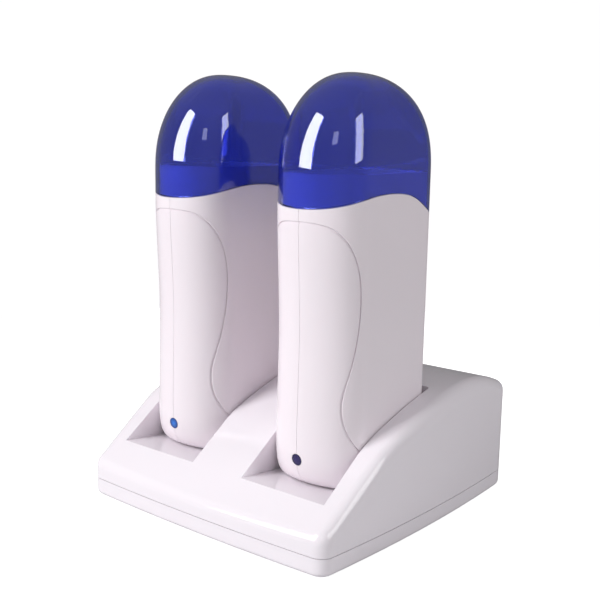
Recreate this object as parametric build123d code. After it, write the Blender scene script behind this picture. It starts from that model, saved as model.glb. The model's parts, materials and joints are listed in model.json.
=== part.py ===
from build123d import *
import math
import os

# Twin roll-on wax cartridge heater: two hand-held heaters under translucent caps, standing in a docking base.
# Millimetres. X to the right, Y to the back, Z up; the origin is on the table under the middle of the base.

# --- Docking base ----------------------------------------------------------------------------------------
BASE_WIDTH = 152.0
BASE_DEPTH = 157.2
BASE_CREST_Z = 64.0            # highest point of the top surface, behind the bays
BASE_FRONT_CORNER_R = 6.5      # plan corners
BASE_REAR_CORNER_R = 11.0
SIDE_BOW = 3.3                 # bulge of the side walls in plan
FRONT_BOW = 2.0                # bulge of the front and rear walls in plan
RIM_WIDTH = 13.4               # from a bay's outer wall to the side of the base
RIM_FILLET_R = 5.6             # roll from the top surface into the upright walls
PARTING_Z = 9.5                # line where the top shell meets the bottom tray
PARTING_GAP = 0.35
BASE_WALL = 2.2
FRONT_SLOPE_DEG = 35.0         # slope of the top surface in front of the heaters
SHOULDER_SETBACK = 33.0        # behind the heater's nose, where the top surface starts to level out
SHOULDER_DROP = 11.6           # below the crest
CREST_SETBACK = 18.5           # from the heater's rear back to the crest
CREST_EDGE_DROP = 3.0          # the surface beside the heater's rear, below the crest
TAIL_SETBACK = 19.9            # from the rear wall forward to where the surface turns down
TAIL_DROP = 3.4
REAR_DROP = 10.4               # the surface at the rear wall, below the crest
REAR_FALL = 0.3                # its slope there
TRAY_EDGE_R = 2.4
FOOT_R = 6.0
FOOT_THICKNESS = 2.6
FOOT_HEIGHT = 1.2              # how far the feet stand out of the tray
FOOT_INSET = 17.0              # foot centre from the walls
CASE_SCREW_R = 1.5
CASE_SCREW_INSET = 12.5        # rear screws from the rear wall
CASE_SCREW_LENGTH = 12.0
CASE_HEAD_R = 2.8
CASE_HEAD_HEIGHT = 1.8
CASE_BOSS_R = 3.8
CASE_SEAT_HEIGHT = 2.0         # thickening of the tray floor at each screw
CASE_HEAD_SINK = 0.4           # screw heads inside the tray
CASE_LIP_OFFSET = 10.0         # front screw behind the bay lips
CASE_DOCK_OFFSET = 24.0        # second screw behind the connectors
FOOT_EDGE_R = 0.5

# --- Bays ------------------------------------------------------------------------------------------------
LIP_SETBACK = 14.7             # from the front wall to the lip of a bay floor
LIP_Z = 27.3
BAY_FLOOR_Z = 25.2             # level floor under the heater
RAMP_LENGTH = 21.6             # the floor falls over this length from the lip
BAY_CLEARANCE = 0.7            # heater to side wall
BAY_REAR_CLEARANCE = 2.9       # heater to rear wall
BAY_CORNER_R = 2.5

# --- Heater housing --------------------------------------------------------------------------------------
NOSE_SETBACK = 10.6            # from the bay lip to the heater's nose
NOSE_DEPTH = 19.6              # depth of the half-elliptical nose
NOSE_FLARE = 2.2               # extra reach of the nose at the cap
FLARE_START_Z = 92.0
FLARE_END_Z = 150.0
NOSE_BELLY = 0.7               # extra reach of the nose near the heel
BELLY_Z = 50.0
GRIP_STEP = 12.0               # largest distance between the housing's plan sections
REAR_CORNER_R = 5.0
HEEL_RISE = 18.0               # height of the roll under the nose
HEEL_REACH = 13.0              # how far that roll draws the nose back at the sole
HEEL_POWER = 2.4               # superellipse power of the heel
HEEL_SHARES = (0.0, 0.02, 0.05, 0.09, 0.14, 0.2, 0.28, 0.37, 0.47, 0.58, 0.7, 0.82, 0.94, 1.06, 1.18)
SOLE_ROLL_R = 3.5              # roll of the lower side and rear edges
SEAT_CLEARANCE = 0.3           # docked heater above the bay floor
SHELL_WALL = 2.0
SEAM_GAP = 0.16
GROOVE_WIDTH = 1.0
GROOVE_DEPTH = 0.55
GROOVE_PATH = (                # setback from the nose, height
    (-8.0, 142.9),
    (-1.0, 142.9),
    (8.5, 132.7),
    (13.6, 107.0),
    (10.0, 80.5),
    (7.0, 65.0),
    (11.2, 48.5),
    (24.0, 36.5),
    (40.0, 22.5),
)
SHELL_SCREW_Z = 51.0
SHELL_SCREW_R = 1.3
SHELL_SCREW_LENGTH = 24.0
SHELL_HEAD_R = 2.4
SHELL_HEAD_HEIGHT = 1.6
SHELL_HEAD_SINK = 6.0          # depth of the screw heads below the flank
SHELL_BOSS_R = 3.6
SHELL_SCREW_NOSE_SETBACK = 21.0
SHELL_SCREW_REAR_SETBACK = 8.0
SCREW_SLOT_WIDTH = 0.8         # cross recess of the screw heads

# --- Cap and collar --------------------------------------------------------------------------------------
CAP_NOSE_Z = 148.8             # cap edge at the nose
CAP_ARCH = 5.9                 # rise of the cap edge along the flank
CAP_EDGE_PATH = (              # share of the heater's depth, share of the arch
    (0.0, 0.0),
    (0.2, 0.6),
    (0.58, 1.0),
    (0.75, 0.7),
)
CAP_EDGE_RUN_OUT = 8.0         # how far the edge's curve is drawn past the nose and the rear
CAP_NOSE_SLOPE = 0.075
CAP_REAR_SLOPE = 0.56
CAP_REAR_DROP = 5.6            # how far the edge falls at the rear, below the nose
CAP_TOP_Z = 206.3
CAP_WALL = 1.8
CAP_GAP = 0.35
DOME_START_Z = 162.0
DOME_NOSE_POWER = 2.05         # superellipse powers of the dome: lower is rounder
DOME_SIDE_POWER = 2.5
DOME_REAR_POWER = 2.8
COLLAR_LOW_Z = 136.0
COLLAR_TOP_Z = 163.5
COLLAR_FIT = 0.35
COLLAR_WALL = 1.6

# --- Cartridge chamber and heating parts -----------------------------------------------------------------
CHAMBER_WIDTH = 34.0
CHAMBER_DEPTH = 53.0
CHAMBER_CORNER_R = 12.0
CHAMBER_NOSE_GAP = 4.0         # chamber wall to the inside of the shell, at the nose
CHAMBER_REAR_GAP = 3.8         # the same at the rear
CHAMBER_FLOOR_Z = 62.0
CHAMBER_TOP_Z = 150.0
CHAMBER_WALL = 1.0
ELEMENT_THICKNESS = 1.8
ELEMENT_DEPTH = 24.0
ELEMENT_HEIGHT = 34.0
ELEMENT_MID_Z = 92.0
MICA_THICKNESS = 0.4
MICA_MARGIN = 2.0
CLIP_THICKNESS = 0.4
CLIP_CLEARANCE = 0.3           # clip to the inside of the shell
CLIP_HEIGHT = 9.0
LEAF_THICKNESS = 0.4
LEAF_WIDTH = 9.0
LEAF_HEIGHT = 44.0
LEAF_BULGE = 2.2
THERMOSTAT_R = 7.0
THERMOSTAT_HEIGHT = 5.0
THERMOSTAT_OFFSET = 10.5       # in front of the inlet pins
BLADE_SIZE = 4.0
BLADE_THICKNESS = 0.8
FUSE_R = 1.6
FUSE_LENGTH = 11.0
FUSE_LEAD_R = 0.4
FUSE_LEAD_LENGTH = 2.5
FUSE_OFFSET = 1.7              # fuse end behind the inlet pin, so that a lead ends over the pin

# --- Electrical fittings ---------------------------------------------------------------------------------
DOCK_SETBACK = 37.0            # connector centre behind the heater's nose
POST_HEIGHT = 10.0
CONNECTOR_R = 4.0              # radius of each lobe of the figure-8 post
CONNECTOR_CLEARANCE = 0.35
CONNECTOR_WALL = 1.3
FLANGE_LENGTH = 27.0
FLANGE_WIDTH = 15.0
FLANGE_THICKNESS = 2.2
PIN_SPACING = 8.6
PIN_R = 1.2
PIN_CLEARANCE = 0.07
PIN_TAIL = 4.0
CONTACT_WALL = 0.5
CONTACT_TAIL = 5.0
CONTACT_SINK = 0.6             # contact tube below the top of its post
PRESS_GAP = 0.05               # round pins and tubes pushed into a block
RECESS_HEADROOM = 1.5          # above the docked post
INLET_ROOF = 2.5               # block above the recess
PIN_SINK = 1.5                 # heater's pins above its sole
MAINS_Z = 20.0
MAINS_DEPTH = 15.0
MAINS_SINK = 0.3               # socket's face inside the rear wall
MAINS_FLOOR = 2.0              # wall at the socket's inner end
MAINS_PIN_SINK = 3.5           # pin tips inside the rear wall
TAB_START = 1.5                # gap from the socket's inner end to the solder tabs
TAB_LENGTH = 4.5
TAB_WIDTH = 4.2
TAB_THICKNESS = 1.8
TAB_OVERLAP = 0.5              # tab over the pin's inner end
TAB_WIRE_OFFSET = 1.15         # the two wires of a tab lie this far either side of its middle
LIVE_TURN_SETBACK = 9.0        # from the tabs to where each pole's wires turn down
NEUTRAL_TURN_SETBACK = 5.0
LED_Z = 38.9
LENS_R = 2.6
LENS_CLEARANCE = 0.15
LENS_LENGTH = 4.5
LAMP_R = 2.4
LAMP_LENGTH = 4.6
LAMP_RIM = 0.4
BOARD_WIDTH = 18.0
BOARD_HEIGHT = 18.0
BOARD_THICKNESS = 1.6
BOARD_GAP = 1.2                # room between lens and lamp
RIB_WALL = 1.6                 # ribs that hold the board's edges
RIB_OVERLAP = 1.0
RIB_HEIGHT = 13.0
RIB_RAISE = 2.0                # from the board's lower edge to the ribs
RIB_OUTER_INSET = 5.5          # rib's outer end inside the flank, within the nose's wall
WIRE_R = 0.9
WIRE_BEND_R = 2.2
LIVE_WIRE_Z = 8.0
NEUTRAL_WIRE_Z = 12.0
INNER_GAP = 0.2                # between pieces of one assembly that are pushed together

# --- Values worked out from those above ------------------------------------------------------------------
CHAMBER_SIDE_X = CHAMBER_WIDTH / 2 + CHAMBER_WALL
STACK_THICKNESS = ELEMENT_THICKNESS + MICA_THICKNESS + CLIP_THICKNESS
HALF_WIDTH = CHAMBER_SIDE_X + STACK_THICKNESS + CLIP_CLEARANCE + SHELL_WALL
HEATER_WIDTH = 2 * HALF_WIDTH
HEATER_DEPTH = CHAMBER_DEPTH + CHAMBER_NOSE_GAP + CHAMBER_REAR_GAP + 2 * (CHAMBER_WALL + SHELL_WALL)
BAY_HALF_WIDTH = HALF_WIDTH + BAY_CLEARANCE
BAY_SPACING = BASE_WIDTH - 2 * (BAY_HALF_WIDTH + RIM_WIDTH)
FRONT_Y = -BASE_DEPTH / 2
REAR_Y = BASE_DEPTH / 2
LIP_Y = FRONT_Y + LIP_SETBACK
NOSE_Y = LIP_Y + NOSE_SETBACK
HEATER_REAR_Y = NOSE_Y + HEATER_DEPTH
BAY_REAR_Y = HEATER_REAR_Y + BAY_REAR_CLEARANCE
SOLE_Z = BAY_FLOOR_Z + SEAT_CLEARANCE
TRAY_FLOOR_Z = FOOT_HEIGHT + BASE_WALL
CASE_SEAT_Z = FOOT_HEIGHT + CASE_HEAD_HEIGHT + CASE_HEAD_SINK
DOCK_Y = NOSE_Y + DOCK_SETBACK
CHAMBER_REAR_Y = HEATER_REAR_Y - SHELL_WALL - CHAMBER_REAR_GAP - CHAMBER_WALL
CHAMBER_MID_Y = CHAMBER_REAR_Y - CHAMBER_DEPTH / 2
RECESS_DEPTH = POST_HEIGHT + CONNECTOR_CLEARANCE + RECESS_HEADROOM
RECESS_ROOF_Z = SOLE_Z + RECESS_DEPTH
PIN_TOP_Z = RECESS_ROOF_Z + INLET_ROOF + PIN_TAIL
CONTACT_R = PIN_R + PIN_CLEARANCE + CONTACT_WALL
MAINS_BACK_Y = REAR_Y - MAINS_SINK - MAINS_DEPTH
TAB_END_Y = MAINS_BACK_Y - TAB_START - TAB_LENGTH
SIDES = {"left": -1, "right": 1}

os.makedirs("parts", exist_ok=True)


def save(shape, node):
    """Writes one node's solids to its own file."""
    export_step(Compound(children=shape.solids()), f"parts/{node}.step")


def box_between(low, high):
    """Box from its lowest corner to its highest corner."""
    size = [b - a for a, b in zip(low, high)]
    middle = [(a + b) / 2 for a, b in zip(low, high)]
    return Pos(*middle) * Box(*size)


def bar(start, end, radius):
    """Straight round bar from one point to another."""
    axis = Vector(*end) - Vector(*start)
    return Plane(origin=start, z_dir=axis) * extrude(Circle(radius), axis.length)


def wire(*points):
    """Insulated wire: straight runs joined by tangent bends."""
    path = FilletPolyline(*points, radius=WIRE_BEND_R)
    return sweep(Plane(origin=path @ 0, z_dir=path % 0) * Circle(WIRE_R), path=path)


def across(outline, half_width):
    """Solid with the given outline in the Y-Z plane, as far to either side of X = 0."""
    return extrude(Plane.YZ * outline, half_width, both=True)


# --- Heater housing --------------------------------------------------------------------------------------

def smooth_step(value, low, high):
    """Smooth rise from 0 at low to 1 at high."""
    share = min(max((value - low) / (high - low), 0.0), 1.0)
    return share * share * (3 - 2 * share)


def nose_line(z):
    """Front centre line of the housing: a slight waist, fuller near the heel, flaring towards the cap."""
    flare = NOSE_FLARE * smooth_step(z, FLARE_START_Z, FLARE_END_Z)
    belly = NOSE_BELLY * (1 - smooth_step(z, BELLY_Z, FLARE_START_Z))
    return NOSE_Y - flare - belly


def superellipse(share, power):
    """Half-width of a superellipse of the given power at a share of its height, both from 0 to 1."""
    return (1 - share ** power) ** (1 / power)


def roll_back(height, rise, reach, power=2):
    """How far a roll of the given size draws a wall in, this high above the sole."""
    share = min(max(1 - height / rise, 0.0), 1.0)
    return reach * (1 - superellipse(share, power))


def housing_section(z, inset, rise=0.0):
    """D-shaped plan section: half-elliptical nose, straight flanks, rounded rear corners.

    inset moves the whole outline inwards; inside the wall the lower edge is square. rise is how far up
    the dome the section is, from 0 to 1: there the outline shrinks and turns from a D into an oval.
    """
    height = z - SOLE_Z - inset
    side_r = SOLE_ROLL_R - inset if inset < SHELL_WALL else 0.0
    side_roll = roll_back(height, side_r, side_r) if side_r else 0.0
    heel_roll = roll_back(height, HEEL_RISE - inset, HEEL_REACH - inset, HEEL_POWER)
    nose_share = superellipse(rise, DOME_NOSE_POWER)
    side_share = superellipse(rise, DOME_SIDE_POWER)
    rear_share = superellipse(rise, DOME_REAR_POWER)
    nose = nose_line(z) + inset
    rear = HEATER_REAR_Y - inset - side_roll
    middle = (nose + rear) / 2
    half_depth = (rear - nose) / 2
    half = (HALF_WIDTH - inset - side_roll) * side_share
    front = middle + (nose + heel_roll - middle) * nose_share
    back = middle + (rear - middle) * rear_share
    nose_depth = NOSE_DEPTH - inset - heel_roll
    nose_depth = (nose_depth * nose_share + half_depth * (1 - nose_share)) * nose_share
    corner_r = REAR_CORNER_R - inset
    corner_x = corner_r * rear_share * side_share + half * (1 - rear_share)
    corner_y = (corner_r * rear_share + half_depth * (1 - rear_share)) * rear_share
    edges = [
        EllipticalCenterArc((0, front + nose_depth), half, nose_depth, 180, arc_size=180),
        Line((half, front + nose_depth), (half, back - corner_y)),
        EllipticalCenterArc((half - corner_x, back - corner_y), corner_x, corner_y, 0, arc_size=90),
        Line((half - corner_x, back), (corner_x - half, back)),
        EllipticalCenterArc((corner_x - half, back - corner_y), corner_x, corner_y, 90, arc_size=90),
        Line((-half, back - corner_y), (-half, front + nose_depth)),
    ]
    return Pos(0, 0, z) * make_face(edges)


def grip_solid(inset, low_z, high_z):
    """Solid housing between two heights above the rolled heel, all sides moved inwards by inset."""
    steps = math.ceil((high_z - low_z) / GRIP_STEP)
    levels = [low_z + (high_z - low_z) * step / steps for step in range(steps + 1)]
    return loft([housing_section(z, inset) for z in levels])


def whole_grip(inset, high_z):
    """Solid housing from its sole up: the rolled heel, then the upright grip."""
    low_z = SOLE_Z + inset
    roll_top = SOLE_Z + HEEL_RISE
    levels = [low_z + (roll_top - low_z) * share for share in HEEL_SHARES]
    heel = loft([housing_section(z, inset) for z in levels])
    return heel + grip_solid(inset, levels[-1], high_z)


def dome_solid(inset, low_z):
    """Cap outline as a solid: straight skirt, then a superelliptic dome."""
    top = CAP_TOP_Z - inset
    skirt = DOME_START_Z - low_z
    sections = [housing_section(low_z + skirt * step / 3, inset) for step in range(4)]
    for rise in (0.2, 0.38, 0.54, 0.68, 0.79, 0.88, 0.945, 0.985, 0.9985):
        sections.append(housing_section(DOME_START_Z + rise * (top - DOME_START_Z), inset, rise))
    return loft(sections)


def above_cap_edge(offset):
    """Everything above the wavy line where the cap meets the shells, raised by offset."""
    low = CAP_NOSE_Z + offset
    depth = HEATER_DEPTH + NOSE_FLARE
    front = NOSE_Y - NOSE_FLARE
    arch = [(front + along * depth, low + up * CAP_ARCH) for along, up in CAP_EDGE_PATH]
    before = (front - CAP_EDGE_RUN_OUT, low - CAP_EDGE_RUN_OUT * CAP_NOSE_SLOPE)
    rear = (front + depth, low - CAP_REAR_DROP)
    behind = (rear[0] + CAP_EDGE_RUN_OUT, rear[1] - CAP_EDGE_RUN_OUT * CAP_REAR_SLOPE)
    wave = Spline([before] + arch + [rear, behind])
    top = CAP_TOP_Z + 10
    outline = [
        wave,
        Line(wave @ 1, ((wave @ 1).X, top)),
        Line(((wave @ 1).X, top), ((wave @ 0).X, top)),
        Line(((wave @ 0).X, top), wave @ 0),
    ]
    return across(make_face(outline), HEATER_WIDTH)


def grip_groove():
    """S-shaped groove that runs round the nose below the cap and down both flanks."""
    line = Spline([(NOSE_Y + setback, z) for setback, z in GROOVE_PATH])
    ribbon = across(trace(line, line_width=GROOVE_WIDTH), HEATER_WIDTH)
    return ribbon - whole_grip(GROOVE_DEPTH, CAP_NOSE_Z)


def shell_bosses(side):
    """Screw bosses inside one half shell, from its flank to the seam."""
    bosses = Part()
    for y in shell_screw_ys():
        flank = (side * (HALF_WIDTH - SHELL_WALL / 2), y, SHELL_SCREW_Z)
        bosses += bar(flank, (0, y, SHELL_SCREW_Z), SHELL_BOSS_R)
    return bosses


def shell_screw_ys():
    """Places of the two shell screws along the heater."""
    return (NOSE_Y + SHELL_SCREW_NOSE_SETBACK, HEATER_REAR_Y - SHELL_SCREW_REAR_SETBACK)


def board_ribs(side):
    """Grooved rib on one half shell that holds an edge of the lamp board."""
    inner = side * (BOARD_WIDTH / 2 - RIB_OVERLAP)
    outer = side * (HALF_WIDTH - RIB_OUTER_INSET)
    low_y = board_y() - RIB_WALL
    low_z = board_z() + RIB_RAISE
    rib = box_between((min(inner, outer), low_y, low_z),
                      (max(inner, outer), low_y + 2 * RIB_WALL + BOARD_THICKNESS, low_z + RIB_HEIGHT))
    return rib - lamp_board(INNER_GAP)


def half_shell(side):
    """One half of the heater's housing, split along the centre plane."""
    solid = whole_grip(0, COLLAR_TOP_Z)
    shell = solid - whole_grip(SHELL_WALL, COLLAR_TOP_Z + 1)
    shell += (shell_bosses(side) + board_ribs(side)) & solid
    shell -= above_cap_edge(0)
    shell -= grip_groove()
    shell -= bar((0, NOSE_Y - 5, LED_Z), (0, NOSE_Y + LENS_LENGTH, LED_Z), LENS_R + LENS_CLEARANCE)
    neck = CONNECTOR_R + CONNECTOR_CLEARANCE + CONNECTOR_WALL + INNER_GAP
    shell -= figure_8(neck, SOLE_Z - 1, SOLE_Z + SHELL_WALL + 1)
    head_x = -HALF_WIDTH + SHELL_HEAD_SINK
    for y in shell_screw_ys():
        sink_r = SHELL_HEAD_R + INNER_GAP
        shell -= bar((-HALF_WIDTH - 1, y, SHELL_SCREW_Z), (head_x, y, SHELL_SCREW_Z), sink_r)
        end = (head_x + SHELL_SCREW_LENGTH + 1, y, SHELL_SCREW_Z)
        shell -= bar((head_x - 1, y, SHELL_SCREW_Z), end, SHELL_SCREW_R + INNER_GAP / 4)
    far = side * HEATER_WIDTH
    near = side * SEAM_GAP / 2
    keep = box_between((min(near, far), NOSE_Y - 20, 0), (max(near, far), HEATER_REAR_Y + 20, CAP_TOP_Z))
    return shell & keep


def shell_screws():
    """The two screws that pull the half shells together."""
    head_x = -HALF_WIDTH + SHELL_HEAD_SINK
    screws = Part()
    for y in shell_screw_ys():
        head = bar((head_x - SHELL_HEAD_HEIGHT, y, SHELL_SCREW_Z), (head_x, y, SHELL_SCREW_Z), SHELL_HEAD_R)
        tip_x = head_x + SHELL_SCREW_LENGTH
        shank = bar((head_x, y, SHELL_SCREW_Z), (tip_x, y, SHELL_SCREW_Z), SHELL_SCREW_R)
        slot = Box(SHELL_HEAD_HEIGHT, 1.3 * SHELL_HEAD_R, SCREW_SLOT_WIDTH)
        slot += Box(SHELL_HEAD_HEIGHT, SCREW_SLOT_WIDTH, 1.3 * SHELL_HEAD_R)
        driver = Pos(head_x - SHELL_HEAD_HEIGHT, y, SHELL_SCREW_Z) * slot
        screws += head + shank - driver
    return screws


# --- Cap, collar and chamber -----------------------------------------------------------------------------

def heater_cap():
    """Domed translucent cap, open below, with the wavy edge."""
    low = CAP_NOSE_Z - CAP_REAR_DROP - 6
    return (dome_solid(0, low) - dome_solid(CAP_WALL, low - 1)) & above_cap_edge(CAP_GAP)


def chamber_block(inset, low_z, high_z):
    """Rounded oblong of the cartridge chamber; a negative inset makes it larger."""
    radius = CHAMBER_CORNER_R - inset
    face = RectangleRounded(CHAMBER_WIDTH - 2 * inset, CHAMBER_DEPTH - 2 * inset, radius)
    return Pos(0, CHAMBER_MID_Y, low_z) * extrude(face, high_z - low_z)


def collar():
    """White collar: outer ring under the cap, top rim, and a guide tube down to the chamber."""
    inset = SHELL_WALL + COLLAR_FIT
    ring = grip_solid(inset, COLLAR_LOW_Z, COLLAR_TOP_Z)
    ring -= grip_solid(inset + COLLAR_WALL, COLLAR_LOW_Z - 1, COLLAR_TOP_Z - COLLAR_WALL)
    tube = chamber_block(-COLLAR_WALL, CHAMBER_TOP_Z, COLLAR_TOP_Z)
    return ring + tube - chamber_block(0, COLLAR_LOW_Z - 1, COLLAR_TOP_Z + 1)


def chamber():
    """Aluminium tub that holds the wax cartridge and spreads the heat."""
    tub = chamber_block(-CHAMBER_WALL, CHAMBER_FLOOR_Z - CHAMBER_WALL, CHAMBER_TOP_Z)
    return tub - chamber_block(0, CHAMBER_FLOOR_Z, CHAMBER_TOP_Z + 1)


def flank_plates(low_x, thickness, margin):
    """A flat plate against each broad side of the chamber."""
    plates = Part()
    half_depth = ELEMENT_DEPTH / 2 + margin
    half_height = ELEMENT_HEIGHT / 2 + margin
    for side in SIDES.values():
        centre = Pos(side * (low_x + thickness / 2), CHAMBER_MID_Y, ELEMENT_MID_Z)
        plates += centre * Box(thickness, 2 * half_depth, 2 * half_height)
    return plates


def heating_elements():
    """Ceramic heating plates, one on each broad side."""
    return flank_plates(CHAMBER_SIDE_X, ELEMENT_THICKNESS, 0)


def mica_sheets():
    """Insulating sheets over the heating plates."""
    return flank_plates(CHAMBER_SIDE_X + ELEMENT_THICKNESS, MICA_THICKNESS, MICA_MARGIN)


def clamp_clip():
    """C-shaped spring clip round the rear of the chamber that presses the plates on."""
    inner_x = CHAMBER_SIDE_X + ELEMENT_THICKNESS + MICA_THICKNESS
    outer_x = inner_x + CLIP_THICKNESS
    rear = CHAMBER_REAR_Y + CHAMBER_WALL
    front = CHAMBER_MID_Y - ELEMENT_DEPTH / 2
    low = ELEMENT_MID_Z - CLIP_HEIGHT / 2
    high = ELEMENT_MID_Z + CLIP_HEIGHT / 2
    clip = box_between((-outer_x, front, low), (outer_x, rear + CLIP_THICKNESS, high))
    return clip - box_between((-inner_x, front - 1, low - 1), (inner_x, rear, high + 1))


def leaf_spring():
    """Bowed leaf on the chamber's rear wall that steadies the cartridge."""
    back = CHAMBER_REAR_Y
    low = ELEMENT_MID_Z - LEAF_HEIGHT / 2
    high = ELEMENT_MID_Z + LEAF_HEIGHT / 2
    inside = ThreePointArc((back - LEAF_THICKNESS, low), (back - LEAF_BULGE - LEAF_THICKNESS, ELEMENT_MID_Z),
                           (back - LEAF_THICKNESS, high))
    outside = ThreePointArc((back, high), (back - LEAF_BULGE, ELEMENT_MID_Z), (back, low))
    outline = [inside, Line(inside @ 1, outside @ 0), outside, Line(outside @ 1, inside @ 0)]
    return across(make_face(outline), LEAF_WIDTH / 2)


def thermostat_y():
    """Centre of the thermostat under the chamber floor."""
    return DOCK_Y - THERMOSTAT_OFFSET


def fuse_y():
    """Centre of the thermal fuse, whose front lead ends over an inlet pin."""
    return DOCK_Y + FUSE_LENGTH / 2 + FUSE_OFFSET


def thermostat():
    """Bimetal disc thermostat against the chamber floor, with its two blades."""
    top = CHAMBER_FLOOR_Z - CHAMBER_WALL
    y = thermostat_y()
    body = bar((0, y, top - THERMOSTAT_HEIGHT), (0, y, top), THERMOSTAT_R)
    blades = Part()
    for side in SIDES.values():
        centre = Pos(side * PIN_SPACING / 2, y, top - THERMOSTAT_HEIGHT - BLADE_SIZE / 2)
        blades += centre * Box(BLADE_THICKNESS, BLADE_SIZE, BLADE_SIZE)
    return body + blades


def thermal_fuse():
    """One-shot fuse lying under the chamber floor, its leads in line."""
    x = PIN_SPACING / 2
    y = fuse_y()
    z = CHAMBER_FLOOR_Z - CHAMBER_WALL - FUSE_R - INNER_GAP
    reach = FUSE_LENGTH / 2
    body = bar((x, y - reach, z), (x, y + reach, z), FUSE_R)
    lead = reach + FUSE_LEAD_LENGTH
    return body + bar((x, y - lead, z), (x, y + lead, z), FUSE_LEAD_R)


# --- Lamp ------------------------------------------------------------------------------------------------

def board_y():
    """Front face of the lamp board."""
    return NOSE_Y + LENS_LENGTH + LAMP_LENGTH + BOARD_GAP


def board_z():
    """Lower edge of the lamp board."""
    return LED_Z - BOARD_HEIGHT / 2 + 1.0


def lamp_board(margin=0.0):
    """Small circuit board behind the indicator, larger all round by margin."""
    low = (-BOARD_WIDTH / 2 - margin, board_y() - margin, board_z() - margin)
    high = (BOARD_WIDTH / 2 + margin, board_y() + BOARD_THICKNESS + margin, board_z() + BOARD_HEIGHT + margin)
    return box_between(low, high)


def indicator_lens():
    """Round lens in the nose seam, its face following the housing."""
    lens = bar((0, NOSE_Y - 3, LED_Z), (0, NOSE_Y + LENS_LENGTH, LED_Z), LENS_R)
    return lens & whole_grip(0, FLARE_START_Z)


def indicator_lamp():
    """Light-emitting diode: domed body on a short flange, against the board."""
    front = NOSE_Y + LENS_LENGTH + INNER_GAP
    body = bar((0, front + LAMP_R, LED_Z), (0, board_y(), LED_Z), LAMP_R)
    body += Pos(0, front + LAMP_R, LED_Z) * Sphere(LAMP_R)
    return body + bar((0, board_y() - 1, LED_Z), (0, board_y(), LED_Z), LAMP_R + LAMP_RIM)


# --- Connectors ------------------------------------------------------------------------------------------

def figure_8_face(radius):
    """Two lobes joined by a waist, drawn round the two pins."""
    face = Rectangle(PIN_SPACING, 1.5 * radius)
    for side in SIDES.values():
        face += Pos(side * PIN_SPACING / 2, 0) * Circle(radius)
    return face


def figure_8(radius, low_z, high_z):
    """Upright figure-8 prism at the dock connector."""
    return Pos(0, DOCK_Y, low_z) * extrude(figure_8_face(radius), high_z - low_z)


def inlet_block():
    """Recessed inlet in the heater's sole, open below."""
    recess_r = CONNECTOR_R + CONNECTOR_CLEARANCE
    top = RECESS_ROOF_Z + INLET_ROOF
    block = figure_8(recess_r + CONNECTOR_WALL, SOLE_Z, top)
    shelf = SOLE_Z + SHELL_WALL
    block += box_between((-FLANGE_LENGTH / 2, DOCK_Y - FLANGE_WIDTH / 2, shelf),
                         (FLANGE_LENGTH / 2, DOCK_Y + FLANGE_WIDTH / 2, shelf + FLANGE_THICKNESS))
    block -= figure_8(recess_r, SOLE_Z - 1, RECESS_ROOF_Z)
    for side in SIDES.values():
        x = side * PIN_SPACING / 2
        block -= bar((x, DOCK_Y, SOLE_Z), (x, DOCK_Y, top + 1), PIN_R + PRESS_GAP)
    return block


def inlet_pins():
    """The heater's two pins, with tails above the block for the wires."""
    pins = Part()
    for side in SIDES.values():
        x = side * PIN_SPACING / 2
        pins += bar((x, DOCK_Y, SOLE_Z + PIN_SINK), (x, DOCK_Y, PIN_TOP_Z), PIN_R)
    return pins


def dock_post():
    """Figure-8 post that stands in a bay and carries the contact tubes."""
    under = BAY_FLOOR_Z - BASE_WALL
    post = figure_8(CONNECTOR_R, under - FLANGE_THICKNESS, BAY_FLOOR_Z + POST_HEIGHT)
    post += box_between((-FLANGE_LENGTH / 2, DOCK_Y - FLANGE_WIDTH / 2, under - FLANGE_THICKNESS),
                        (FLANGE_LENGTH / 2, DOCK_Y + FLANGE_WIDTH / 2, under))
    for side in SIDES.values():
        x = side * PIN_SPACING / 2
        post -= bar((x, DOCK_Y, 0), (x, DOCK_Y, BAY_FLOOR_Z + POST_HEIGHT + 1), CONTACT_R + PRESS_GAP)
    return post


def dock_contacts():
    """Contact tubes of one post, with solid tails below for the wires."""
    low = BAY_FLOOR_Z - BASE_WALL - CONTACT_TAIL
    high = BAY_FLOOR_Z + POST_HEIGHT - CONTACT_SINK
    contacts = Part()
    for side in SIDES.values():
        x = side * PIN_SPACING / 2
        tube = bar((x, DOCK_Y, low), (x, DOCK_Y, high), CONTACT_R)
        contacts += tube - bar((x, DOCK_Y, BAY_FLOOR_Z - 1), (x, DOCK_Y, high + 1), PIN_R + PIN_CLEARANCE)
    return contacts


def heater_wires():
    """Wires inside one heater: one inlet pin to the thermostat, the other to the fuse."""
    blade_z = CHAMBER_FLOOR_Z - CHAMBER_WALL - THERMOSTAT_HEIGHT - BLADE_SIZE
    lead_z = CHAMBER_FLOOR_Z - CHAMBER_WALL - FUSE_R - INNER_GAP - FUSE_LEAD_R
    middle_z = (PIN_TOP_Z + blade_z) / 2
    x = PIN_SPACING / 2
    to_thermostat = wire(
        (-x, DOCK_Y, PIN_TOP_Z),
        (-x, DOCK_Y, middle_z),
        (-x, thermostat_y(), middle_z),
        (-x, thermostat_y(), blade_z),
    )
    return to_thermostat + bar((x, DOCK_Y, PIN_TOP_Z), (x, DOCK_Y, lead_z), WIRE_R)


# --- Base ------------------------------------------------------------------------------------------------

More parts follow.
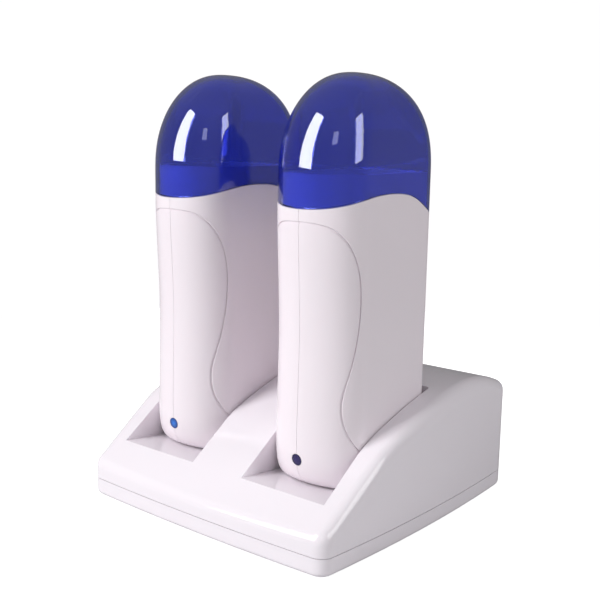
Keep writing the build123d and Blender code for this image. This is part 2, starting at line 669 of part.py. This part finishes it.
def base_plan(inset):
    """Plan outline of the base: four bowed walls with rounded corners."""
    x = BASE_WIDTH / 2 - inset
    y = BASE_DEPTH / 2 - inset
    corners = [(x - SIDE_BOW, y - FRONT_BOW), (SIDE_BOW - x, y - FRONT_BOW),
               (SIDE_BOW - x, FRONT_BOW - y), (x - SIDE_BOW, FRONT_BOW - y)]
    middles = [(0, y), (-x, 0), (0, -y), (x, 0)]
    edges = [ThreePointArc(corners[i], middles[i], corners[(i + 1) % 4]) for i in range(4)]
    face = make_face(edges)
    face = fillet(face.vertices().sort_by(Axis.Y)[:2], BASE_FRONT_CORNER_R - inset)
    return fillet(face.vertices().sort_by(Axis.Y)[-2:], BASE_REAR_CORNER_R - inset)


def base_top_outline(drop):
    """Outline in the Y-Z plane of everything under the top surface, lowered by drop."""
    slope = math.radians(FRONT_SLOPE_DEG)
    run = LIP_SETBACK + 10
    low_y = LIP_Y - run
    bend = (LIP_Y + RAMP_LENGTH, LIP_Z + RAMP_LENGTH * math.tan(slope) - drop)
    start = (low_y, LIP_Z - run * math.tan(slope) - drop)
    crest = BASE_CREST_Z - drop
    sweep_line = Spline(
        bend,
        (NOSE_Y + SHOULDER_SETBACK, crest - SHOULDER_DROP),
        (HEATER_REAR_Y - CREST_EDGE_DROP, crest - CREST_EDGE_DROP),
        (HEATER_REAR_Y + CREST_SETBACK, crest),
        (REAR_Y - TAIL_SETBACK, crest - TAIL_DROP),
        (REAR_Y + 1, crest - REAR_DROP),
        tangents=[(math.cos(slope), math.sin(slope)), (1, -REAR_FALL)],
    )
    end = sweep_line @ 1
    return make_face([
        Line(start, bend),
        sweep_line,
        Line(end, (end.X, -BASE_CREST_Z)),
        Line((end.X, -BASE_CREST_Z), (low_y, -BASE_CREST_Z)),
        Line((low_y, -BASE_CREST_Z), start),
    ])


def base_solid(inset, low_z):
    """Solid top shell: plan outline under the sloping top surface, its rim rolled over."""
    block = Pos(0, 0, low_z) * extrude(base_plan(inset), BASE_CREST_Z + 20)
    solid = block & across(base_top_outline(inset), BASE_WIDTH)
    roof = [face for face in solid.faces() if face.normal_at().Z > 0.3]
    roof_edges = [edge for face in roof for edge in face.edges()]
    rim = [edge for edge in roof_edges if sum(edge in face.edges() for face in roof) == 1]
    return fillet(rim, RIM_FILLET_R - inset)


def bay_block(side, grow, floor_drop):
    """Space of one bay, above its floor; grow widens it to the bay's outer walls."""
    floor = BAY_FLOOR_Z - floor_drop
    ramp_end = LIP_Y + RAMP_LENGTH
    rise = (LIP_Z - BAY_FLOOR_Z) / RAMP_LENGTH
    front = FRONT_Y - 10
    front_z = floor + rise * (ramp_end - front)
    top = BASE_CREST_Z + 10
    rear = BAY_REAR_Y + grow
    corners = [(rear, floor), (ramp_end, floor), (front, front_z), (front, top), (rear, top)]
    outline = Polyline(*corners, close=True)
    space = across(make_face(outline), BAY_HALF_WIDTH + grow)
    rear_edges = [edge for edge in space.edges().filter_by(Axis.Z) if edge.center().Y > rear - 1]
    return Pos(side * BAY_SPACING / 2, 0, 0) * fillet(rear_edges, BAY_CORNER_R + grow)


def feet_places():
    """Foot centres near the four corners."""
    x = BASE_WIDTH / 2 - FOOT_INSET
    y = BASE_DEPTH / 2 - FOOT_INSET
    return [(-x, -y), (x, -y), (-x, y), (x, y)]


def case_screw_places():
    """Screw centres: two between the bays, two behind them."""
    behind = REAR_Y - CASE_SCREW_INSET
    return [(0, LIP_Y + CASE_LIP_OFFSET), (0, DOCK_Y + CASE_DOCK_OFFSET),
            (-BAY_SPACING / 2, behind), (BAY_SPACING / 2, behind)]


def mains_inlet_cutter(radius, low_y, high_y):
    """Horizontal figure-8 prism at the mains inlet."""
    plane = Plane(origin=(0, low_y, MAINS_Z), x_dir=(1, 0, 0), z_dir=(0, 1, 0))
    return plane * extrude(figure_8_face(radius), high_y - low_y)


def base_top_shell():
    """Moulded top of the base with its two bays."""
    low_z = PARTING_Z + PARTING_GAP
    outer = base_solid(0, low_z)
    inner = base_solid(BASE_WALL, low_z - 5)
    shell = outer - inner
    for side in SIDES.values():
        shell += bay_block(side, BASE_WALL, BASE_WALL) & outer
    for x, y in case_screw_places():
        shell += bar((x, y, low_z), (x, y, BASE_CREST_Z), CASE_BOSS_R) & outer
    for side in SIDES.values():
        shell -= bay_block(side, 0, 0)
        hole = figure_8(CONNECTOR_R + INNER_GAP, BAY_FLOOR_Z - BASE_WALL - 1, BAY_FLOOR_Z + 1)
        shell -= Pos(side * BAY_SPACING / 2, 0, 0) * hole
    for x, y in case_screw_places():
        shell -= bar((x, y, 0), (x, y, FOOT_HEIGHT + CASE_SCREW_LENGTH + 4), CASE_SCREW_R + INNER_GAP / 4)
    neck = CONNECTOR_R + CONNECTOR_WALL + INNER_GAP
    return shell - mains_inlet_cutter(neck, REAR_Y - BASE_WALL - 2, REAR_Y + 1)


def base_bottom_tray():
    """Shallow tray that closes the base and carries the feet."""
    block = Pos(0, 0, FOOT_HEIGHT) * extrude(base_plan(0), PARTING_Z - FOOT_HEIGHT)
    block = fillet(block.faces().sort_by(Axis.Z)[0].edges(), TRAY_EDGE_R)
    tray = block - Pos(0, 0, TRAY_FLOOR_Z) * extrude(base_plan(BASE_WALL), PARTING_Z)
    seat_z = TRAY_FLOOR_Z + CASE_SEAT_HEIGHT
    for x, y in case_screw_places():
        tray += bar((x, y, FOOT_HEIGHT + 0.5), (x, y, seat_z), CASE_BOSS_R + 1)
        tray -= bar((x, y, 0), (x, y, CASE_SEAT_Z), CASE_HEAD_R + INNER_GAP)
        tray -= bar((x, y, 0), (x, y, seat_z + 1), CASE_SCREW_R + INNER_GAP)
    for x, y in feet_places():
        tray -= bar((x, y, 0), (x, y, FOOT_THICKNESS), FOOT_R + INNER_GAP)
    return tray


def case_screws():
    """Screws that hold the tray to the top shell."""
    screws = Part()
    for x, y in case_screw_places():
        head = bar((x, y, CASE_SEAT_Z - CASE_HEAD_HEIGHT), (x, y, CASE_SEAT_Z), CASE_HEAD_R)
        shank = bar((x, y, CASE_SEAT_Z), (x, y, CASE_SEAT_Z + CASE_SCREW_LENGTH), CASE_SCREW_R)
        slot = Box(1.3 * CASE_HEAD_R, SCREW_SLOT_WIDTH, CASE_HEAD_HEIGHT)
        slot += Box(SCREW_SLOT_WIDTH, 1.3 * CASE_HEAD_R, CASE_HEAD_HEIGHT)
        driver = Pos(x, y, CASE_SEAT_Z - CASE_HEAD_HEIGHT) * slot
        screws += head + shank - driver
    return screws


def feet():
    """Four rubber feet, each with a softened edge."""
    pads = Part()
    for x, y in feet_places():
        pad = Pos(x, y, 0) * extrude(Circle(FOOT_R), FOOT_THICKNESS)
        pads += fillet(pad.edges().sort_by(Axis.Z)[0], FOOT_EDGE_R)
    return pads


def mains_inlet():
    """Figure-8 mains socket in the rear wall."""
    mouth = REAR_Y - MAINS_SINK
    body = mains_inlet_cutter(CONNECTOR_R + CONNECTOR_WALL, MAINS_BACK_Y, mouth)
    flange_y = REAR_Y - BASE_WALL - 2 * INNER_GAP
    body += box_between((-FLANGE_LENGTH / 2, flange_y - FLANGE_THICKNESS, MAINS_Z - FLANGE_WIDTH / 2),
                        (FLANGE_LENGTH / 2, flange_y, MAINS_Z + FLANGE_WIDTH / 2))
    body -= mains_inlet_cutter(CONNECTOR_R, MAINS_BACK_Y + MAINS_FLOOR, mouth + 1)
    for side in SIDES.values():
        x = side * PIN_SPACING / 2
        body -= bar((x, MAINS_BACK_Y - 1, MAINS_Z), (x, mouth, MAINS_Z), PIN_R + PRESS_GAP)
    return body


def mains_pins():
    """Two pins of the mains socket, each with a flat tab for two wires."""
    pins = Part()
    for side in SIDES.values():
        x = side * PIN_SPACING / 2
        back = MAINS_BACK_Y - TAB_START - TAB_OVERLAP
        pins += bar((x, back, MAINS_Z), (x, REAR_Y - MAINS_PIN_SINK, MAINS_Z), PIN_R)
        tab = Box(TAB_WIDTH, TAB_LENGTH, TAB_THICKNESS)
        pins += Pos(x, TAB_END_Y + TAB_LENGTH / 2, MAINS_Z) * tab
    return pins


def base_wires(pole, level_z, turn_y):
    """Wires of one pole, from its mains pin to a contact in each bay."""
    contact_z = BAY_FLOOR_Z - BASE_WALL - CONTACT_TAIL
    pin_x = pole * PIN_SPACING / 2
    wires = Part()
    for side in SIDES.values():
        start_x = pin_x + side * TAB_WIRE_OFFSET
        end_x = side * BAY_SPACING / 2 + pin_x
        wires += wire(
            (start_x, TAB_END_Y, MAINS_Z),
            (start_x, turn_y, MAINS_Z),
            (start_x, turn_y, level_z),
            (end_x, turn_y, level_z),
            (end_x, DOCK_Y, level_z),
            (end_x, DOCK_Y, contact_z),
        )
    return wires


def build():
    """Writes every node."""
    heater_parts = {
        "left_shell": half_shell(-1),
        "right_shell": half_shell(1),
        "shell_screws": shell_screws(),
        "cap": heater_cap(),
        "collar": collar(),
        "chamber": chamber(),
        "heating_elements": heating_elements(),
        "mica_sheets": mica_sheets(),
        "clamp_clip": clamp_clip(),
        "leaf_spring": leaf_spring(),
        "thermostat": thermostat(),
        "thermal_fuse": thermal_fuse(),
        "indicator_lens": indicator_lens(),
        "indicator_lamp": indicator_lamp(),
        "lamp_board": lamp_board(),
        "inlet_block": inlet_block(),
        "inlet_pins": inlet_pins(),
        "wires": heater_wires(),
    }
    dock_parts = {
        "dock_post": dock_post(),
        "dock_contacts": dock_contacts(),
    }
    for name, side in SIDES.items():
        place = Pos(side * BAY_SPACING / 2, 0, 0)
        for part, shape in heater_parts.items():
            save(place * shape, f"{name}_heater_{part}")
        for part, shape in dock_parts.items():
            save(place * shape, f"{name}_{part}")
    save(base_top_shell(), "base_top_shell")
    save(base_bottom_tray(), "base_bottom_tray")
    save(case_screws(), "base_case_screws")
    save(feet(), "base_feet")
    save(mains_inlet(), "mains_inlet")
    save(mains_pins(), "mains_inlet_pins")
    save(base_wires(1, LIVE_WIRE_Z, TAB_END_Y - LIVE_TURN_SETBACK), "base_live_wires")
    save(base_wires(-1, NEUTRAL_WIRE_Z, TAB_END_Y - NEUTRAL_TURN_SETBACK), "base_neutral_wires")


build()
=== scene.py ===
import json
import math

import bpy
from mathutils import Matrix, Vector


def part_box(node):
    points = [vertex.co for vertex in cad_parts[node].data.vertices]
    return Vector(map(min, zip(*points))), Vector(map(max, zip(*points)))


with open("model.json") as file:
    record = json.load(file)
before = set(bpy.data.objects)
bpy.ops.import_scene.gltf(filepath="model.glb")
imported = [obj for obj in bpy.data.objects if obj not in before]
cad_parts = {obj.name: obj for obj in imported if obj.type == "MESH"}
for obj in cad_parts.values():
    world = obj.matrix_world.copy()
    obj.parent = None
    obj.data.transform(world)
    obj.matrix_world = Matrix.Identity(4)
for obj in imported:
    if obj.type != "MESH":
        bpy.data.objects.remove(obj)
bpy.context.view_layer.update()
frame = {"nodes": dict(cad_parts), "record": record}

# --- Camera, in metres and degrees ------------------------------------------------------------------------
CAMERA_PLACE = Vector((0.2991, -0.3700, 0.1846))
CAMERA_AZIMUTH = 39.40
CAMERA_ELEVATION = 10.31
CAMERA_ROLL = 1.05
CAMERA_LENS = 58.71            # millimetres
SENSOR_WIDTH = 36

# --- Studio -----------------------------------------------------------------------------------------------
LIGHT_CENTRE_Z = 0.15          # the lights' angles are measured from this height on the object's axis
LIGHT_DISTANCE = 1.4
SMALL_LIGHT_DISTANCE = 1.2
SURROUND_LEFT = 0.20           # strength of the world that lights the object
SURROUND_RIGHT = 0.25
SURROUND_TOP = 0.10            # added overhead
BACKDROP = 1.02                # strength of the world that the camera sees
FLOOR_RADIUS = 0.5
FLOOR_CORNERS = 96
FLOOR_GLOW = 0.88              # light through the floor sheet, which the camera sees but the object doesn't


def make_camera():
    """Camera at the viewing angle of the reference: right of the front, slightly above."""
    azimuth = math.radians(CAMERA_AZIMUTH)
    elevation = math.radians(CAMERA_ELEVATION)
    roll = math.radians(CAMERA_ROLL)
    forward = Vector((
        -math.sin(azimuth) * math.cos(elevation),
        math.cos(azimuth) * math.cos(elevation),
        -math.sin(elevation),
    ))
    level = Vector((math.cos(azimuth), math.sin(azimuth), 0))
    upright = level.cross(forward)
    right = level * math.cos(roll) + upright * math.sin(roll)
    up = upright * math.cos(roll) - level * math.sin(roll)
    turn = Matrix((right, up, -forward)).transposed()
    data = bpy.data.cameras.new("camera")
    data.lens = CAMERA_LENS
    data.sensor_width = SENSOR_WIDTH
    camera = bpy.data.objects.new("camera", data)
    camera.matrix_world = Matrix.Translation(CAMERA_PLACE) @ turn.to_4x4()
    bpy.context.collection.objects.link(camera)
    bpy.context.scene.camera = camera


# --- Lights and floor -------------------------------------------------------------------------------------

def window_light(name, azimuth, low, high, width, radiance, distance=LIGHT_DISTANCE):
    """Tall upright softbox, seen from the object between the angles low and high, and width wide.

    azimuth is counted from the front towards the right; angles are in degrees.
    """
    turn = math.radians(azimuth)
    foot, head = (LIGHT_CENTRE_Z + distance * math.tan(math.radians(angle)) for angle in (low, high))
    data = bpy.data.lights.new(name, "AREA")
    data.shape = "RECTANGLE"
    data.size = 2 * distance * math.tan(math.radians(width / 2))
    data.size_y = head - foot
    data.energy = radiance * math.pi * data.size * data.size_y
    light = bpy.data.objects.new(name, data)
    light.location = (distance * math.sin(turn), -distance * math.cos(turn), (foot + head) / 2)
    light.rotation_euler = (math.pi / 2, 0, turn)
    bpy.context.collection.objects.link(light)


def make_world():
    """White to the camera; what lights the object is dim, and brighter overhead and on the right."""
    world = bpy.data.worlds.new("studio")
    bpy.context.scene.world = world
    world.use_nodes = True
    nodes, links = world.node_tree.nodes, world.node_tree.links
    coords = nodes.new("ShaderNodeTexCoord")
    split = nodes.new("ShaderNodeSeparateXYZ")
    links.new(coords.outputs["Generated"], split.inputs[0])

    def ramp(axis, start, end, low, high):
        """Strength that goes from low to high as the direction's share along axis goes from start to end."""
        made = nodes.new("ShaderNodeMapRange")
        made.interpolation_type = "SMOOTHSTEP"
        limits = {"From Min": start, "From Max": end, "To Min": low, "To Max": high}
        for key, value in limits.items():
            made.inputs[key].default_value = value
        links.new(split.outputs[axis], made.inputs["Value"])
        return made.outputs["Result"]

    total = nodes.new("ShaderNodeMath")
    links.new(ramp("X", 0.2, 0.75, SURROUND_LEFT, SURROUND_RIGHT), total.inputs[0])
    links.new(ramp("Z", 0.3, 0.95, 0.0, SURROUND_TOP), total.inputs[1])
    seen = nodes.new("ShaderNodeLightPath")
    mix = nodes.new("ShaderNodeMix")
    mix.inputs["B"].default_value = BACKDROP
    links.new(total.outputs["Value"], mix.inputs["A"])
    links.new(seen.outputs["Is Camera Ray"], mix.inputs["Factor"])
    links.new(mix.outputs["Result"], nodes["Background"].inputs["Strength"])
    nodes["Background"].inputs["Color"].default_value = (1.0, 0.985, 1.0, 1)


def make_floor():
    """Pale round sheet under the feet, lit from below as well, so that only a faint shadow shows."""
    mesh = bpy.data.meshes.new("floor")
    turns = [2 * math.pi * step / FLOOR_CORNERS for step in range(FLOOR_CORNERS)]
    ring = [(FLOOR_RADIUS * math.cos(turn), FLOOR_RADIUS * math.sin(turn), 0) for turn in turns]
    mesh.from_pydata(ring, [], [range(FLOOR_CORNERS)])
    floor = bpy.data.objects.new("floor", mesh)
    bpy.context.collection.objects.link(floor)
    material = bpy.data.materials.new("floor_paper")
    material.use_nodes = True
    shader = material.node_tree.nodes["Principled BSDF"]
    shader.inputs["Base Color"].default_value = (0.62, 0.62, 0.63, 1)
    shader.inputs["Roughness"].default_value = 0.9
    shader.inputs["Emission Color"].default_value = (1, 1, 1, 1)
    seen = material.node_tree.nodes.new("ShaderNodeLightPath")
    glow = material.node_tree.nodes.new("ShaderNodeMath")
    glow.operation = "MULTIPLY"
    glow.inputs[1].default_value = FLOOR_GLOW
    material.node_tree.links.new(seen.outputs["Is Camera Ray"], glow.inputs[0])
    material.node_tree.links.new(glow.outputs["Value"], shader.inputs["Emission Strength"])
    mesh.materials.append(material)


# --- Materials --------------------------------------------------------------------------------------------

GRAIN_DEPTH = 0.00002          # fine grain of metal, ceramic and rubber
RIPPLE_DEPTH = 0.000008        # sink and ripple of moulded white plastic
POLISH_DEPTH = 0.000004        # what is left of it on the polished caps


class Shader:
    """One Principled material with helpers for procedural detail in object coordinates."""

    def __init__(self, name, **values):
        self.material = bpy.data.materials.new(name)
        self.material.use_nodes = True
        self.tree = self.material.node_tree
        self.shader = self.tree.nodes["Principled BSDF"]
        for key, value in values.items():
            self.set(key, value)

    def set(self, key, value):
        """Gives one of the shader's own sockets a plain value; key is the socket's name in snake case."""
        socket = self.shader.inputs[key.replace("_", " ").title().replace("Ior", "IOR")]
        socket.default_value = (*value, 1.0) if socket.type == "RGBA" else value

    def node(self, kind, **values):
        """New node of that kind, with its settings and sockets filled from values."""
        made = self.tree.nodes.new(kind)
        for key, value in values.items():
            if hasattr(made, key):
                setattr(made, key, value)
            else:
                made.inputs[key.replace("_", " ").title()].default_value = value
        return made

    def link(self, source, target):
        self.tree.links.new(source, target)

    def coords(self, stretch=(1, 1, 1)):
        """Object coordinates, scaled along each axis."""
        coords = self.node("ShaderNodeTexCoord")
        mapping = self.node("ShaderNodeMapping")
        mapping.inputs["Scale"].default_value = stretch
        self.link(coords.outputs["Object"], mapping.inputs["Vector"])
        return mapping.outputs["Vector"]

    def noise(self, scale, detail=3.0, rough=0.5, stretch=(1, 1, 1)):
        """Noise from 0 to 1 with scale bumps to the metre, drawn out along the axes that stretch shrinks."""
        made = self.node("ShaderNodeTexNoise", scale=scale, detail=detail, roughness=rough)
        self.link(self.coords(stretch), made.inputs["Vector"])
        return made.outputs["Fac"]

    def ranged(self, value, low, high, start=0.3, end=0.7):
        """A 0 to 1 texture value spread from low to high."""
        made = self.node("ShaderNodeMapRange")
        made.inputs["From Min"].default_value = start
        made.inputs["From Max"].default_value = end
        made.inputs["To Min"].default_value = low
        made.inputs["To Max"].default_value = high
        self.link(value, made.inputs["Value"])
        return made.outputs["Result"]

    def tint(self, value, dark, light, start=0.3, end=0.7):
        """Base colour that varies between two tones."""
        ramp = self.node("ShaderNodeValToRGB")
        ramp.color_ramp.elements[0].position = start
        ramp.color_ramp.elements[0].color = (*dark, 1)
        ramp.color_ramp.elements[1].position = end
        ramp.color_ramp.elements[1].color = (*light, 1)
        self.link(value, ramp.inputs["Fac"])
        self.link(ramp.outputs["Color"], self.shader.inputs["Base Color"])

    def bump(self, value, depth):
        """Surface relief: depth in metres for the full range of value."""
        made = self.node("ShaderNodeBump")
        made.inputs["Strength"].default_value = 1.0
        made.inputs["Distance"].default_value = depth
        self.link(value, made.inputs["Height"])
        self.link(made.outputs["Normal"], self.shader.inputs["Normal"])


def moulded_white(name, dark, light, rough_low, rough_high):
    """Glossy white ABS: faint tone drift, slight sink and ripple of the moulding, fine wear in the gloss."""
    made = Shader(name, ior=1.5)
    made.tint(made.noise(14, 4), dark, light)
    made.link(made.ranged(made.noise(240, 6, 0.7), rough_low, rough_high), made.shader.inputs["Roughness"])
    made.bump(made.noise(40, 1), RIPPLE_DEPTH)
    made.set("subsurface_weight", 0.06)
    made.set("subsurface_radius", (0.04, 0.03, 0.03))
    return made.material


def plain_finish(name, colour, rough, metal=0.0, drift=0.12, grain=400, stretch=(1, 1, 1)):
    """A finish with slight tone and gloss variation and a fine grain."""
    made = Shader(name, metallic=metal)
    dark = tuple(c * (1 - drift) for c in colour)
    light = tuple(min(c * (1 + drift), 1.0) for c in colour)
    grainy = made.noise(grain, 3, 0.6, stretch)
    made.tint(grainy, dark, light)
    made.link(made.ranged(grainy, rough * 0.8, min(rough * 1.2, 1.0)), made.shader.inputs["Roughness"])
    made.bump(grainy, GRAIN_DEPTH)
    return made.material


# Drawn and rolled metal has its grain along one axis, and mica its layers.
PLAIN_FINISHES = {
    "chamber_aluminium": dict(
        colour=(0.78, 0.79, 0.8), rough=0.35, metal=1.0, drift=0.06, grain=500, stretch=(1, 1, 0.05)
    ),
    "element_ceramic": dict(colour=(0.8, 0.79, 0.75), rough=0.8),
    "mica": dict(colour=(0.55, 0.45, 0.28), rough=0.45, drift=0.25, grain=250, stretch=(1, 1, 4)),
    "spring_steel": dict(
        colour=(0.6, 0.6, 0.62), rough=0.3, metal=1.0, drift=0.06, grain=600, stretch=(1, 1, 0.06)
    ),
    "thermostat_steel": dict(colour=(0.68, 0.68, 0.7), rough=0.35, metal=1.0, drift=0.06),
    "lamp_clear": dict(colour=(0.75, 0.8, 0.9), rough=0.1),
    "board_green": dict(colour=(0.04, 0.2, 0.1), rough=0.4),
    "fitting_black": dict(colour=(0.025, 0.025, 0.03), rough=0.5),
    "fitting_white": dict(colour=(0.78, 0.77, 0.8), rough=0.45, drift=0.04),
    "contact_brass": dict(colour=(0.72, 0.58, 0.3), rough=0.25, metal=1.0, drift=0.08),
    "screw_steel": dict(colour=(0.5, 0.5, 0.53), rough=0.35, metal=1.0, drift=0.1),
    "foot_rubber": dict(colour=(0.05, 0.05, 0.055), rough=0.85),
    "wire_sleeve": dict(colour=(0.7, 0.7, 0.66), rough=0.8, grain=1500),
    "wire_live": dict(colour=(0.2, 0.08, 0.03), rough=0.5),
    "wire_neutral": dict(colour=(0.04, 0.12, 0.4), rough=0.5),
}


def cap_plastic():
    """Deep blue translucent plastic, polished, with a hard glossy skin."""
    made = Shader("cap_plastic", ior=1.58)
    made.tint(made.noise(9, 3), (0.22, 0.28, 0.99), (0.235, 0.295, 0.995))
    made.set("transmission_weight", 0.97)
    made.link(made.ranged(made.noise(70, 5, 0.7), 0.01, 0.03), made.shader.inputs["Roughness"])
    made.bump(made.noise(60, 2), POLISH_DEPTH)
    made.set("coat_weight", 0.6)
    made.set("coat_roughness", 0.015)
    return made.material


def coloured_lens(name, node, colour, glow_colour, glow):
    """Clear coloured lens of a CAD node with an emitting middle that fades to the rim: on a lit lens it is the
    lamp behind it, on an unlit lens it is painted glow.
    """
    low, high = (Vector(corner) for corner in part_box(node))
    radius = (high.x - low.x) / 2
    made = Shader(name, roughness=0.12, ior=1.5, coat_weight=0.3)
    made.tint(made.noise(900, 2), tuple(c * 0.8 for c in colour), colour)
    reach = made.node("ShaderNodeVectorMath", operation="DISTANCE")
    made.link(made.coords(), reach.inputs[0])
    reach.inputs[1].default_value = ((low.x + high.x) / 2, low.y, (low.z + high.z) / 2)
    # Emission from glow in the middle down to nothing at the rim; on an unlit lens this is painted glow, not a
    # lamp.
    strength = made.ranged(reach.outputs["Value"], glow, 0.0, radius * 0.2, radius)
    made.link(strength, made.shader.inputs["Emission Strength"])
    made.set("emission_color", glow_colour)
    return made.material


def slot_materials():
    """One material for each slot of the record."""
    made = {
        "shell_white": moulded_white(
            "shell_white", (0.86, 0.79, 0.838), (0.868, 0.798, 0.846), 0.25, 0.27
        ),
        "base_white": moulded_white(
            "base_white", (0.85, 0.803, 0.85), (0.858, 0.811, 0.858), 0.09, 0.11
        ),
        "collar_white": moulded_white(
            "collar_white", (0.92, 0.915, 0.93), (0.93, 0.925, 0.94), 0.35, 0.4
        ),
        "cap_blue": cap_plastic(),
        "lens_lit": coloured_lens(
            "lens_lit", "left_heater_indicator_lens", (0.01, 0.05, 0.24), (0.02, 0.25, 0.9), 0.5
        ),
        # The right lens's lamp is off: its faint glowing middle is painted glow that stands for a lighter
        # centre.
        "lens_dark": coloured_lens(
            "lens_dark", "right_heater_indicator_lens", (0.012, 0.006, 0.07), (0.15, 0.08, 0.9), 0.05
        ),
    }
    for name, finish in PLAIN_FINISHES.items():
        made[name] = plain_finish(name, **finish)
    return made


def paint_nodes():
    """Gives each CAD node the material of its slot."""
    materials = slot_materials()
    for row in frame["record"]["subparts"]:
        node = frame["nodes"][row["node"]]
        node.data.materials.clear()
        node.data.materials.append(materials[row["material_slot"]])


make_camera()
make_world()
make_floor()
window_light("front_window", azimuth=-25, low=4, high=50, width=26, radiance=9.5)
window_light("right_window", azimuth=93, low=5, high=42, width=21, radiance=4.3)
window_light("small_window", 32, 24, 36, 12, radiance=1.8, distance=SMALL_LIGHT_DISTANCE)
paint_nodes()
bpy.context.scene.view_settings.view_transform = "Standard"
